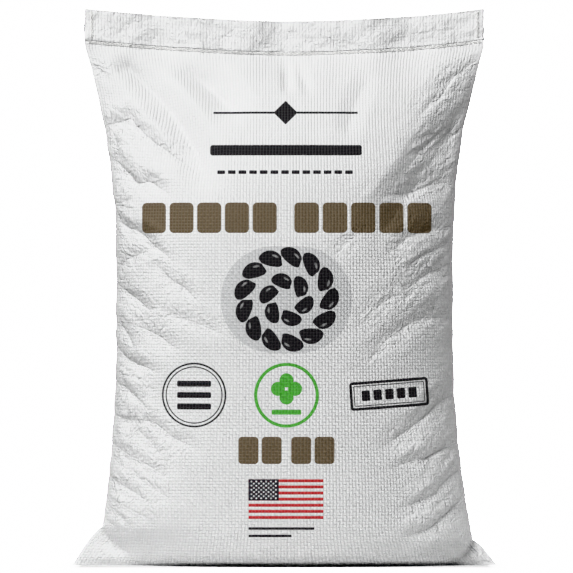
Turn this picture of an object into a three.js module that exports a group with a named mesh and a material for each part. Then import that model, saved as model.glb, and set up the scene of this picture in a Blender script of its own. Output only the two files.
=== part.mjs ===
// A shut woven sack of dried beans that stands on its own flattened base.
// Millimetres, +X to the right, +Y to the back, +Z up, with the origin under the middle of the base.
import * as THREE from "three";

// Driving dimensions of the filled sack. A half is measured from the middle of the sack.
const WAIST_HALF = 150.5; // half width where the sack is narrowest
const MOUTH_HALF = 178; // half width of the mouth, which is sewn flat
const CORNER_REACH = 189; // half the distance between the tips of the two bottom corners
const BELLY_HALF = 74; // half depth of the belly
const BASE_HALF = 47; // half depth of the flat base
const BELLY_HEIGHT = 240; // height at which the belly is deepest
const WAIST_FOOT = 205; // below this height the sack spreads
const WAIST_TOP = 270; // above this height it widens towards the mouth
const SHOULDER_TOP = 450; // at this height it has the width of the mouth
const MOUTH_HEIGHT = 454; // where the cloth closes, at mid width
const STITCH_HEIGHT = 455.7; // the row of stitches, at mid width
const HEM_FOOT = 457.6; // lower edge of the folded hem, at mid width
const HEM_TOP = 485.5; // top edge of the hem, at mid width
const SAG = 11; // the ends of the hem stand this much higher than its middle
const SAG_FOOT = 300; // below this height the rows are level
const LEAN = 11.5; // the top edge leans back by this much
const LEAN_FOOT = 200; // below this height the sack stands upright
const NECK_HALF = 1.3; // half thickness of the two cloths under the hem
const HEM_HALF = 2; // half thickness of the hem with its fold
const FLAP_ROOT = 3; // the corner's flap is this much thicker on each face where it leaves the body

// How fast the outline and the depth change with height, as powers of a share of the height.
const SHOULDER_POWER = 2.1;
const SPREAD_POWER = 2;
const FLAP_POWER = 0.75;
const HEEL_POWER = 0.8;
const FOOT_DEPTH_POWER = 4;
const TOP_DEPTH_POWER = 2.6;
const TOP_CLOSING_POWER = 0.74;
const LEAN_POWER = 1.4;

// The section across the sack: a full round one, which turns into a lens with sharp sides at the top.
const ROUND_SECTION = { boxiness: 2.35, sharpness: 0.56 };
const LENS_SECTION = { boxiness: 2.1, sharpness: 0.86 };
const LENS_FOOT = 300; // above this height the section starts to turn into the lens
const CLOTH_SECTION = { boxiness: 24, sharpness: 0.2 };

// The flat hem waves to and fro: how far, over what length, and where the wave starts.
const HEM_WAVES = [
  [2.4, 122, -26],
  [1.3, 55, 40],
];
const WAVE_FOOT = 415; // below this height the wave has died out

// The two sides differ a little: how far the body spreads at its foot, how tall the corner's flap is,
// how far out the filled body touches the floor, how bluntly it ends over the flap, and how straight
// the hem rises towards its end.
const LEFT = { hip: 12.3, flap: 34, heel: 136, blunt: 0.95, rise: 1.6 };
const RIGHT = { hip: 17.5, flap: 23, heel: 149, blunt: 0.6, rise: 2 };

// Folds that start at a side edge and run in over the panels. Each row is the height at the edge, how
// far it runs in, how much it drops on the way, how far it arches above a straight line, its depth and
// the width of its upper flank.
const LEFT_FOLDS = [
  [390, 68, 30, 12, 4.2, 5],
  [384, 14, 16, 0, 2.4, 4],
  [361, 56, 34, 0, 5.2, 5],
  [322, 34, -15, 2, 3.4, 5],
  [313, 62, 60, 8, 4.4, 5],
  [267, 38, -18, 2, 3.8, 5],
  [254, 92, 46, -11, 5, 6],
  [228, 58, 36, 0, 2.5, 8],
  [215, 26, 20, 0, 2.4, 4],
  [199, 48, 32, -6, 3.8, 5],
  [162, 36, 22, 2, 3.4, 4.5],
  [136, 86, 34, 5, 3.6, 6],
  [105, 56, 26, 3, 3, 5],
  [80, 60, 31, 0, 3, 5],
  [63, 34, 36, 0, 2.4, 4.5],
  [45, 18, 14, 0, 2, 4],
];
const RIGHT_FOLDS = [
  [446, 50, 48, -6, 3.6, 9],
  [388, 66, 46, 8, 5.4, 8],
  [358, 84, 46, 5, 5.2, 8],
  [333, 30, 8, 2, 2.2, 5],
  [304, 114, 36, 4, 2.8, 9],
  [285, 78, 23, 0, 3.2, 6],
  [273, 64, 31, 0, 3.6, 5],
  [245, 106, 40, 8, 4, 8],
  [224, 86, 54, 13, 4.6, 8],
  [192, 40, 10, 5, 2.4, 6],
  [151, 80, 50, 8, 4.6, 8],
  [107, 66, 26, 4, 4.2, 6],
  [88, 66, 45, 0, 4.2, 6],
  [61, 42, 29, 0, 2.6, 4.5],
];
// Soft draws that run down from the stitches: where they start, how far they run sideways and down,
// their depth and width.
const MOUTH_DRAWS = [
  [-150, 84, 86, 2.4, 9],
  [-88, 52, 44, 1.8, 9],
  [-2, 0, 46, 1.5, 5],
  [70, -16, 66, 1.8, 10],
];
// The back's folds start at the same places, but run in less far and hang the other way.
const BACK = { reach: 0.82, drop: 1.15, arch: -1 };
const LOWER_FLANK = 1.9; // a fold's lower flank is this much longer than its upper one
const FOLD_ENDS = { edge: 0.55, rise: 0.3, fall: 0.55, end: 1.25 }; // how it fades, as shares
const MOST_DRAWN = 0.7; // a fold never takes more than this share of the depth
const EDGE_ROOM = 6; // a fold may still notch the very edge by a share of this
const FREE_FROM = 26; // the floor holds the cloth flat below this height
const FREE_UNDER_MOUTH = 16; // and the stitches hold it this far down

// Rows and columns of the faceted skin.
const COLUMNS = 80;
const FOOT_ROWS = [0, 1.6, 5, 10, 16.5, 23.5, 30, 36];
const BODY_ROWS = 52;
const HEM_ROWS = 3;
const LEAST_FLANK = 6.5; // no flank is made narrower than the facets can show

// The thread lies on the cloth as a chain of thick and thin places.
const STITCH = 4; // length of one stitch
const THREAD_HALF_WIDTH = 0.95; // across the row of stitches
const THREAD_HALF_RISE = 0.55; // out of the cloth
const THREAD_NARROW = 0.55; // share of that between two stitches
const THREAD_GAP = 0.3; // clear of the cloth
const END_MARGIN = 6; // from the end of the hem to its upright row of stitches
const ROW_MARGIN = 2.5; // from the end of the hem to the end of the long row
const UPRIGHT_MARGIN = 2.2; // from the edges of the hem to the ends of an upright row

const clamp01 = (t) => Math.min(1, Math.max(0, t));
const mix = (from, to, t) => from + (to - from) * t;
const smooth = (from, to, v) => {
  const t = clamp01((v - from) / (to - from));
  return t * t * (3 - 2 * t);
};

// Half width of one side at a height: waist, shoulders, spread foot and the corner's flap.
function halfWidth(height, side) {
  const shoulder = clamp01((height - WAIST_TOP) / (SHOULDER_TOP - WAIST_TOP)) ** SHOULDER_POWER;
  const spread = clamp01((WAIST_FOOT - height) / (WAIST_FOOT - side.flap)) ** SPREAD_POWER;
  const body = WAIST_HALF + (MOUTH_HALF - WAIST_HALF) * shoulder + side.hip * spread;
  const flap = clamp01(1 - height / side.flap) ** FLAP_POWER;
  return body + (CORNER_REACH - WAIST_HALF - side.hip) * flap;
}

// Half width of the filled body, which ends in front of the corner's flap.
function filledHalfWidth(height, side) {
  if (height >= side.flap) return halfWidth(height, side);
  const notch = halfWidth(side.flap, side);
  return side.heel + (notch - side.heel) * (height / side.flap) ** HEEL_POWER;
}

// Half depth at mid width. The cloth doesn't stretch, so the sack is deepest where it is narrowest.
function halfDepth(height) {
  if (height < BELLY_HEIGHT) {
    const foot = Math.sqrt(1 - (1 - height / BELLY_HEIGHT) ** FOOT_DEPTH_POWER);
    return BASE_HALF + (BELLY_HALF - BASE_HALF) * foot;
  }
  const up = clamp01((height - BELLY_HEIGHT) / (MOUTH_HEIGHT - BELLY_HEIGHT));
  return BELLY_HALF * (1 - up ** TOP_DEPTH_POWER) ** TOP_CLOSING_POWER;
}

// Half thickness of the flattened cloth, which is all that is left at the mouth and at the corners.
function clothHalf(height) {
  return height >= HEM_FOOT ? HEM_HALF : NECK_HALF;
}

// Half depth at a share of the half width, from 0 in the middle to 1 at the edge.
function sectionDepth(height, share, side) {
  const width = halfWidth(height, side);
  const filledWidth = filledHalfWidth(height, side);
  const filledShare = Math.min(1, (share * width) / filledWidth);
  const low = 1 - smooth(0, side.flap * 1.6, height);
  const lens = smooth(LENS_FOOT, MOUTH_HEIGHT, height);
  const boxiness = mix(ROUND_SECTION.boxiness, LENS_SECTION.boxiness, lens);
  const upperSharpness = mix(ROUND_SECTION.sharpness, LENS_SECTION.sharpness, lens);
  const sharpness = mix(upperSharpness, side.blunt, low);
  const filled = halfDepth(height) * (1 - filledShare ** boxiness) ** sharpness;
  const flapShare = Math.max(0, share * width - filledWidth) / (width - filledWidth + 1);
  const root = FLAP_ROOT * (1 - smooth(0, side.flap, height)) * (1 - flapShare);
  const edge = (1 - share ** CLOTH_SECTION.boxiness) ** CLOTH_SECTION.sharpness;
  return Math.hypot(filled, (clothHalf(height) + root) * edge);
}

// How much higher a row stands at x than at mid width: the hem's ends are pulled up.
function sagAt(height, x) {
  const side = x < 0 ? LEFT : RIGHT;
  const share = Math.min(1, Math.abs(x) / MOUTH_HALF);
  return SAG * share ** side.rise * smooth(SAG_FOOT, STITCH_HEIGHT, height);
}

// Mid surface of the sack: it leans back, and the hem waves a little.
function middle(height, x) {
  const lean = LEAN * (Math.max(0, height - LEAN_FOOT) / (HEM_TOP - LEAN_FOOT)) ** LEAN_POWER;
  let wave = 0;
  for (const [amount, length, start] of HEM_WAVES) {
    wave += amount * Math.sin((2 * Math.PI * (x - start)) / length);
  }
  return lean + wave * smooth(WAVE_FOOT, STITCH_HEIGHT, height);
}

// A valley's shape: a steep upper flank and a longer lower one.
function valley(offset, width) {
  const flank = offset > 0 ? width : width * LOWER_FLANK;
  return Math.exp(-(Math.abs(offset / flank) ** 1.6));
}

// How far the cloth is drawn in at a point of the front or the back panel.
function foldDepth(height, x, width, front) {
  const folds = x < 0 ? LEFT_FOLDS : RIGHT_FOLDS;
  const inward = width - Math.abs(x);
  let drawn = 0;
  for (const [edge, reach, drop, arch, depth, flank] of folds) {
    const along = inward / (front ? reach : reach * BACK.reach);
    if (along > FOLD_ENDS.end) continue;
    const fall = front ? drop : drop * BACK.drop;
    const bow = (front ? arch : arch * BACK.arch) * 4 * along * (1 - along);
    const offset = height - (edge - fall * along + bow);
    const start = mix(FOLD_ENDS.edge, 1, smooth(0, FOLD_ENDS.rise, along));
    const fade = start * (1 - smooth(FOLD_ENDS.fall, FOLD_ENDS.end, along));
    drawn += depth * fade * valley(offset, Math.max(flank, LEAST_FLANK));
  }
  for (const [start, across, down, depth, flank] of MOUTH_DRAWS) {
    const along = clamp01((MOUTH_HEIGHT - height) / down);
    const offset = (x * (front ? 1 : -1) - (start + across * along)) / flank;
    const fade = smooth(0, 0.15, along) * (1 - smooth(0.5, 1, along));
    drawn += depth * fade * Math.exp(-offset * offset);
  }
  return drawn;
}

// A point of the skin. The angle goes once round the sack, and 0 is its right edge.
function skinPoint(height, angle, folded) {
  const across = Math.cos(angle);
  const front = angle > Math.PI;
  const side = across < 0 ? LEFT : RIGHT;
  const width = halfWidth(height, side);
  const x = width * across;
  const depth = sectionDepth(height, Math.abs(across), side);
  const y = middle(height, x) + (front ? -depth : depth);
  const point = new THREE.Vector3(x, y, height + sagAt(height, x));
  if (!folded) return point;
  // Nothing is drawn in at the floor, at the mouth, or where the cloth is thin.
  const inward = width - Math.abs(x);
  const room = MOST_DRAWN * Math.max(depth, EDGE_ROOM * Math.exp(-inward / EDGE_ROOM));
  const stitched = smooth(MOUTH_HEIGHT - FREE_UNDER_MOUTH, MOUTH_HEIGHT, height);
  const free = smooth(0, FREE_FROM, height) * (1 - stitched);
  const drawn = Math.min(room, free * foldDepth(height, x, width, front));
  return point.addScaledVector(outward(height, angle), -drawn);
}

// The skin's outward direction, from two short steps along it.
function outward(height, angle) {
  const step = 0.02;
  const rise = 2;
  const round = skinPoint(height, angle + step, false).sub(skinPoint(height, angle - step, false));
  const low = Math.max(0, height - rise);
  const up = skinPoint(height + rise, angle, false).sub(skinPoint(low, angle, false));
  return round.cross(up).normalize();
}

// Heights of the rows, from the floor to the top edge.
function rowHeights() {
  const last = FOOT_ROWS[FOOT_ROWS.length - 1];
  const rows = [...FOOT_ROWS];
  for (let i = 1; i <= BODY_ROWS; i++) {
    rows.push(last + ((MOUTH_HEIGHT - last) * i) / BODY_ROWS);
  }
  rows.push(HEM_FOOT - 0.4);
  for (let i = 0; i <= HEM_ROWS; i++) {
    rows.push(HEM_FOOT + ((HEM_TOP - HEM_FOOT) * i) / HEM_ROWS);
  }
  return rows;
}

// Closes a ring of vertices across the sack, from the right edge to the left one.
function capRing(faces, first, up) {
  const half = COLUMNS / 2;
  const face = (a, b, c) => faces.push(first + a, first + (up ? b : c), first + (up ? c : b));
  for (let j = 0; j < half; j++) {
    const back = j;
    const front = (COLUMNS - j) % COLUMNS;
    if (j > 0) face(front, back, back + 1);
    if (j < half - 1) face(front, back + 1, front === 0 ? COLUMNS - 1 : front - 1);
  }
}

// The sack itself: one tube of woven cloth with its contents, from the base to the folded hem.
function makeSack() {
  const rows = rowHeights();
  const places = [];
  for (const height of rows) {
    for (let j = 0; j < COLUMNS; j++) {
      places.push(skinPoint(height, (2 * Math.PI * j) / COLUMNS, true));
    }
  }
  const faces = [];
  for (let i = 0; i + 1 < rows.length; i++) {
    for (let j = 0; j < COLUMNS; j++) {
      const a = i * COLUMNS + j;
      const b = i * COLUMNS + ((j + 1) % COLUMNS);
      const c = b + COLUMNS;
      const d = a + COLUMNS;
      // The diagonal that passes nearer to the true skin keeps the slanting folds smooth.
      const middleOf = (p, q) => places[p].clone().add(places[q]).multiplyScalar(0.5);
      const centre = skinPoint((rows[i] + rows[i + 1]) / 2, (2 * Math.PI * (j + 0.5)) / COLUMNS, true);
      const rising = middleOf(a, c).distanceTo(centre) < middleOf(b, d).distanceTo(centre);
      if (rising) faces.push(a, b, c, a, c, d);
      else faces.push(a, b, d, b, c, d);
    }
  }
  capRing(faces, 0, false);
  capRing(faces, (rows.length - 1) * COLUMNS, true);
  return new THREE.BufferGeometry().setFromPoints(places).setIndex(faces);
}

// A point on one face of the flat hem, on the facet that lies there, at a distance out of it.
function onHem(height, x, front, proud) {
  const turn = Math.acos(x / halfWidth(height, x < 0 ? LEFT : RIGHT));
  const column = ((front ? 2 * Math.PI - turn : turn) / (2 * Math.PI)) * COLUMNS;
  const low = Math.floor(column);
  const from = skinPoint(height, (2 * Math.PI * low) / COLUMNS, false);
  const to = skinPoint(height, (2 * Math.PI * (low + 1)) / COLUMNS, false);
  const point = from.clone().lerp(to, (x - from.x) / (to.x - from.x));
  point.y += front ? -proud : proud;
  return point;
}

// A row of stitches along a straight run of the hem: a diamond section that swells at each stitch.
function makeThread(start, end, front) {
  const stitches = Math.round(Math.hypot(end.x - start.x, end.height - start.height) / STITCH);
  const rings = stitches * 2;
  const upright = start.x === end.x;
  const points = [];
  for (let i = 0; i <= rings; i++) {
    const x = mix(start.x, end.x, i / rings);
    const height = mix(start.height, end.height, i / rings);
    const size = i % 2 ? 1 : THREAD_NARROW;
    const centre = onHem(height, x, front, THREAD_GAP + THREAD_HALF_RISE);
    for (let k = 0; k < 4; k++) {
      const across = THREAD_HALF_WIDTH * size * Math.cos((k * Math.PI) / 2);
      const out = THREAD_HALF_RISE * size * Math.sin((k * Math.PI) / 2);
      const offset = new THREE.Vector3(upright ? across : 0, out, upright ? 0 : across);
      points.push(centre.clone().add(offset));
    }
  }
  const faces = [];
  for (let i = 0; i < rings; i++) {
    for (let k = 0; k < 4; k++) {
      const a = i * 4 + k;
      const b = i * 4 + ((k + 1) % 4);
      faces.push(a, b, b + 4, a, b + 4, a + 4);
    }
  }
  const last = rings * 4;
  faces.push(0, 2, 1, 0, 3, 2, last, last + 1, last + 2, last, last + 2, last + 3);
  // Along +X the section's quarter turns run the other way round than along +Z.
  if (!upright) {
    for (let i = 0; i < faces.length; i += 3) {
      [faces[i + 1], faces[i + 2]] = [faces[i + 2], faces[i + 1]];
    }
  }
  return new THREE.BufferGeometry().setFromPoints(points).setIndex(faces);
}

const cloth = new THREE.MeshStandardMaterial({ color: 0xe6e8e6, roughness: 0.62, metalness: 0 });
const thread = new THREE.MeshStandardMaterial({ color: 0xf2f2ee, roughness: 0.8, metalness: 0 });

const sack = new THREE.Group();
const addPiece = (name, geometry, material) => {
  const piece = new THREE.Mesh(geometry, material);
  piece.name = name;
  sack.add(piece);
};

addPiece("sack", makeSack(), cloth);
for (const [face, front] of [["front", true], ["back", false]]) {
  const end = MOUTH_HALF - ROW_MARGIN;
  const row = [{ x: -end, height: STITCH_HEIGHT }, { x: end, height: STITCH_HEIGHT }];
  addPiece(`hem_stitches_${face}`, makeThread(...row, front), thread);
  for (const [name, sign] of [["left", -1], ["right", 1]]) {
    const x = sign * (MOUTH_HALF - END_MARGIN);
    const upright = [
      { x, height: HEM_FOOT + UPRIGHT_MARGIN },
      { x, height: HEM_TOP - UPRIGHT_MARGIN },
    ];
    addPiece(`end_stitches_${name}_${face}`, makeThread(...upright, front), thread);
  }
}

export default sack;
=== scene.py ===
import math

import bpy
import numpy as np
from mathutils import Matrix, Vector, noise


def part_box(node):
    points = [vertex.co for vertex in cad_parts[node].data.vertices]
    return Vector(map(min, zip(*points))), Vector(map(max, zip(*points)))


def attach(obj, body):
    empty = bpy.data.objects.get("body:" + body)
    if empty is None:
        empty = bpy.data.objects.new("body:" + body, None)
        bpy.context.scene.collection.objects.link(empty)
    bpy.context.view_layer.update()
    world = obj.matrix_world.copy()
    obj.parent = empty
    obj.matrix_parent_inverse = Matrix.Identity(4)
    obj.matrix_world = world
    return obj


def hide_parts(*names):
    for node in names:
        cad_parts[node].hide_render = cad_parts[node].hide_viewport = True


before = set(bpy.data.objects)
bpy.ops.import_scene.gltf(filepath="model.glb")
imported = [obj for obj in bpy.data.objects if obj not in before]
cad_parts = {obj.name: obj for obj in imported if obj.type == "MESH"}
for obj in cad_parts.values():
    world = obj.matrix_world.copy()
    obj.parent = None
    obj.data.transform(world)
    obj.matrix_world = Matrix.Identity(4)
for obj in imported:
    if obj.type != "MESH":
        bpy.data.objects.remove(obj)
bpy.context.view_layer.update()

# The camera
# It stands level with the middle of the sack and far off with a long lens, as for a catalogue picture.
# Its square frame is just wider than the sack is high.
frame_width = 0.5105
camera_distance = 6.0
aim_right = 0.0018
aim_height = 0.2481
sensor_width = 36

lens = bpy.data.cameras.new("camera")
lens.sensor_width = sensor_width
lens.lens = sensor_width * camera_distance / frame_width
lens.clip_start = 0.1
lens.clip_end = 60
camera = bpy.data.objects.new("camera", lens)
camera.location = (aim_right, -camera_distance, aim_height)
camera.rotation_euler = (math.radians(90), 0, 0)
bpy.context.scene.collection.objects.link(camera)
bpy.context.scene.camera = camera

# The sack
# One tube of white woven polypropylene tape, filled with dried beans and sewn shut under a folded hem.
# It was laid flat when it was made, so filling it draws both sides in and folds run in from them, and
# the two lower corners stay flat and stick out as flaps.
MM = 0.001

box_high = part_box("sack")[1]
corner_reach = box_high.x / MM
top_corner = box_high.z / MM

# Sizes in millimetres. A half is measured from the middle of the sack.
waist_half = 150.5
mouth_half = 178
belly_half = 74
base_half = 47
belly_height = 240
waist_foot = 205
waist_top = 270
shoulder_top = 450
mouth_height = 454
stitch_height = 455.7
hem_foot = 457.6
sag = 11
hem_top = top_corner - sag
sag_foot = 300
lean = 11.5
lean_foot = 200
neck_half = 1.3
hem_half = 2
flap_root = 8
lens_foot = 300
wave_foot = 415
hem_waves = [(2.4, 122, -26), (1.3, 55, 40)]

# Each side's own shape: how far the body spreads at its foot, how tall the corner's flap is, how far
# out the filled body touches the floor, how bluntly it ends over the flap, how straight the hem rises.
left_side = {"hip": 12.3, "flap": 34, "heel": 136, "blunt": 0.95, "rise": 1.6}
right_side = {"hip": 17.5, "flap": 23, "heel": 149, "blunt": 0.6, "rise": 2}

# The creases on the front, each as the few points that it runs through, from the side edge inward. The
# points are places in the photograph, in its pixels to the right of the middle and up from the floor. The
# other sizes are in millimetres: a depth, and the width of the steep upper flank and of the lower one.
pixel = 0.891
creases = [
    # Left side, from the top down.
    (1.4, 3, 6, [(-193, 500), (-187, 497), (-172, 485)]),
    (4.5, 5, 11, [(-177, 441), (-167, 445), (-154, 448), (-149, 442), (-133, 427), (-101, 404), (-86, 386)]),
    (2.3, 3, 6, [(-177, 432), (-170, 425), (-165, 413)]),
    (4.9, 5, 11, [(-168, 404), (-158, 393), (-149, 384), (-137, 386), (-126, 379), (-117, 372), (-110, 364)]),
    (2.7, 4, 6, [(-170, 362), (-163, 364), (-149, 368)]),
    (4.7, 5, 11, [(-168, 357), (-163, 342), (-149, 336), (-140, 330), (-130, 320), (-116, 309), (-105, 299)]),
    (3.4, 5, 7, [(-167, 295), (-160, 306), (-147, 312), (-130, 316)]),
    (4.9, 5, 10, [(-168, 283), (-158, 274), (-145, 265), (-134, 257), (-118, 258)]),
    (2.7, 4, 8, [(-126, 299), (-112, 286), (-98, 277), (-81, 258)]),
    (3.5, 4, 7, [(-169, 245), (-162, 239), (-153, 224), (-142, 215)]),
    (4.8, 4, 11, [(-169, 221), (-160, 210), (-150, 204), (-137, 199), (-121, 190)]),
    (4.0, 6, 9, [(-150, 242), (-127, 232), (-112, 221), (-96, 213)]),
    (3.2, 6, 9, [(-114, 250), (-93, 246), (-70, 236), (-54, 227)]),
    (3.8, 4, 10, [(-169, 187), (-165, 182), (-160, 180), (-150, 171), (-133, 157)]),
    (1.6, 4, 6, [(-144, 181), (-133, 178), (-123, 177)]),
    (3.5, 5, 9, [(-169, 152), (-162, 148), (-152, 150)]),
    (3.4, 5, 10, [(-150, 148), (-131, 145), (-112, 131), (-93, 122), (-74, 116)]),
    (2.0, 4, 8, [(-152, 147), (-144, 135), (-135, 126), (-119, 108), (-97, 93)]),
    (3.4, 4, 11, [(-171, 122), (-162, 116), (-146, 108), (-131, 99), (-112, 86)]),
    (1.8, 4, 6, [(-173, 110), (-165, 101)]),
    (3.2, 4, 11, [(-175, 91), (-163, 82), (-148, 74), (-135, 65), (-123, 59)]),
    (1.8, 5, 8, [(-146, 89), (-127, 76), (-104, 65)]),
    (2.6, 4, 8, [(-178, 70), (-171, 57), (-158, 44), (-146, 34)]),
    (1.9, 5, 8, [(-160, 61), (-141, 51), (-120, 42)]),
    (1.9, 3, 6, [(-183, 50), (-175, 44), (-163, 34)]),
    (1.6, 3, 5, [(-182, 31), (-169, 21), (-150, 8)]),
    (1.0, 2.5, 4, [(-187, 30), (-179, 24), (-162, 9)]),
    # Right side, from the top down.
    (2.8, 7, 9, [(192, 505), (180, 497), (168, 488), (161, 478), (151, 464), (137, 452), (127, 437)]),
    (2.2, 9, 9, [(177, 437), (158, 430), (140, 421), (132, 409), (123, 396), (113, 385)]),
    (1.8, 3, 5, [(175, 402), (168, 404), (163, 414)]),
    (3.3, 10, 9, [(172, 384), (149, 382), (127, 374), (106, 371), (96, 365), (89, 354)]),
    (2.6, 5, 8, [(168, 339), (151, 337), (132, 332), (120, 325), (106, 313), (89, 303)]),
    (2.3, 6, 8, [(168, 324), (147, 315), (123, 301), (106, 289)]),
    (3.1, 8, 9, [(168, 303), (151, 296), (137, 288), (123, 277), (113, 265)]),
    (1.1, 7, 9, [(67, 327), (55, 317), (46, 305)]),
    (2.0, 7, 9, [(117, 272), (98, 263), (79, 244), (60, 234)]),
    (3.3, 9, 9, [(169, 247), (146, 249), (129, 245), (113, 234), (100, 225), (91, 213), (79, 198),
                 (68, 185)]),
    (1.6, 3, 5, [(171, 221), (163, 228)]),
    (3.6, 7, 9, [(173, 173), (155, 164), (144, 154), (125, 139), (106, 126), (83, 112)]),
    (3.1, 4, 9, [(174, 124), (155, 116), (142, 110), (129, 108), (114, 102), (98, 97)]),
    (3.0, 4, 8, [(173, 95), (159, 84), (150, 74), (137, 68), (120, 61), (104, 56)]),
    (1.3, 3, 5, [(176, 80), (165, 72), (152, 62), (140, 55)]),
    (3.3, 4, 8, [(175, 65), (161, 53), (148, 42), (134, 36), (118, 30), (104, 27)]),
    (2.2, 3, 5, [(189, 23), (184, 13), (174, 5), (168, 1)]),
    (1.2, 2, 3, [(193, 20), (194, 13), (193, 3)]),
    (1.2, 2, 3, [(198, 16), (201, 10), (202, 2)]),
]
# Soft draws in the cloth above the fill: depth, width of the flank on the upper side, width of the one
# on the lower side, and points. The one with a negative depth is a ridge, where the right side turns away.
draws = [
    (14, 24, 18, [(-156, 500), (-146, 489), (-126, 468), (-107, 442), (-93, 416), (-82, 388), (-74, 362)]),
    (14, 24, 24, [(-108, 512), (-91, 497), (-72, 480), (-55, 461), (-42, 438)]),
    (4.0, 8, 7, [(1, 511), (2, 490), (4, 466)]),
    (2.6, 8, 7, [(12, 507), (20, 483), (27, 465)]),
    (3.0, 14, 14, [(80, 480), (68, 454), (60, 420)]),
    (-5, 70, 28, [(178, 497), (155, 466), (132, 435), (109, 404), (86, 372), (70, 345)]),
    (5, 30, 46, [(176, 436), (158, 414), (135, 383), (112, 352), (92, 322), (80, 300)]),
]

# How finely a path is followed, and how far from it a crease is felt, in millimetres.
steps_per_point = 5
crease_reach = 40


def smooth(low, high, value):
    t = np.clip((value - low) / (high - low), 0, 1)
    return t * t * (3 - 2 * t)


def mix(low, high, share):
    return low + (high - low) * share


def half_width(height, side):
    shoulder = np.clip((height - waist_top) / (shoulder_top - waist_top), 0, 1) ** 2.1
    spread = np.clip((waist_foot - height) / (waist_foot - side["flap"]), 0, 1) ** 2
    body = waist_half + (mouth_half - waist_half) * shoulder + side["hip"] * spread
    flap = np.clip(1 - height / side["flap"], 0, 1) ** 0.75
    return body + (corner_reach - waist_half - side["hip"]) * flap


def filled_half_width(height, side):
    notch = half_width(side["flap"], side)
    heel = side["heel"] + (notch - side["heel"]) * np.clip(height / side["flap"], 0, 1) ** 0.8
    return np.where(height >= side["flap"], half_width(height, side), heel)


def half_depth(height):
    foot = np.sqrt(np.clip(1 - (1 - np.clip(height / belly_height, 0, 1)) ** 4, 0, 1))
    up = np.clip((height - belly_height) / (mouth_height - belly_height), 0, 1)
    upper = belly_half * (1 - up ** 2.6) ** 0.74
    return np.where(height < belly_height, mix(base_half, belly_half, foot), upper)


def section_depth(height, share, side):
    width = half_width(height, side)
    filled_width = filled_half_width(height, side)
    filled_share = np.minimum(1, share * width / filled_width)
    low = 1 - smooth(0, side["flap"] * 1.6, height)
    lens_share = smooth(lens_foot, mouth_height, height)
    boxiness = mix(2.35, 2.1, lens_share)
    sharpness = mix(mix(0.56, 0.86, lens_share), side["blunt"], low)
    filled = half_depth(height) * (1 - filled_share ** boxiness) ** sharpness
    flap_share = np.maximum(0, share * width - filled_width) / (width - filled_width + 1)
    root = flap_root * (1 - smooth(0, side["flap"], height)) * (1 - flap_share)
    cloth_half = np.where(height >= hem_foot, hem_half, neck_half)
    return np.hypot(filled, (cloth_half + root) * (1 - share ** 24) ** 0.2)


def middle(height, x):
    back = lean * (np.maximum(0, height - lean_foot) / (hem_top - lean_foot)) ** 1.4
    wave = sum(a * np.sin(2 * np.pi * (x - start) / length) for a, length, start in hem_waves)
    return back + wave * smooth(wave_foot, stitch_height, height)


def per_side(rule, height, angle):
    left, right = rule(height, left_side), rule(height, right_side)
    return np.where(np.cos(angle) < 0, left, right)


def plain_skin(height, angle):
    """The sack without folds. The angle goes once round it, from the right edge over the back."""
    across = np.cos(angle)
    width = per_side(half_width, height, angle)
    x = width * across
    depth = per_side(lambda h, side: section_depth(h, np.abs(across), side), height, angle)
    y = middle(height, x) + np.where(np.sin(angle) < 0, -depth, depth)
    share = np.minimum(1, np.abs(x) / mouth_half)
    rise = np.where(across < 0, left_side["rise"], right_side["rise"])
    z = height + sag * share ** rise * smooth(sag_foot, stitch_height, height)
    return np.stack([x, y, z], axis=-1), width, depth


def smooth_path(points, steps):
    """An even run of points along a curve through the given ones, in millimetres."""
    given = np.array(points, dtype=float) * pixel
    ends = np.concatenate([[2 * given[0] - given[1]], given, [2 * given[-1] - given[-2]]])
    path = []
    for start, first, second, end in zip(ends, ends[1:], ends[2:], ends[3:]):
        for t in np.arange(steps) / steps:
            path.append(0.5 * (2 * first + (second - start) * t
                               + (2 * start - 5 * first + 4 * second - end) * t ** 2
                               + (3 * first - start - 3 * second + end) * t ** 3))
    return np.array(path + [given[-1]])


def place_on_path(x, z, path):
    """The nearest place on a path: the distance, positive above it, and the share of its length."""
    best = np.full(x.shape, 1e9)
    along = np.zeros(x.shape)
    above = np.ones(x.shape)
    lengths = np.linalg.norm(np.diff(path, axis=0), axis=1)
    reached = np.concatenate([[0], np.cumsum(lengths)])
    for i, (start, end) in enumerate(zip(path[:-1], path[1:])):
        way = (end - start) / lengths[i]
        run = np.clip((x - start[0]) * way[0] + (z - start[1]) * way[1], 0, lengths[i])
        off_x, off_z = x - start[0] - run * way[0], z - start[1] - run * way[1]
        gap = np.hypot(off_x, off_z)
        nearer = gap < best
        best = np.where(nearer, gap, best)
        along = np.where(nearer, (reached[i] + run) / reached[-1], along)
        side_of = (off_z * way[0] - off_x * way[1]) * (1 if way[0] > 0 else -1)
        above = np.where(nearer, np.where(side_of > 0, 1, -1), above)
    return best * above, along


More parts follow.
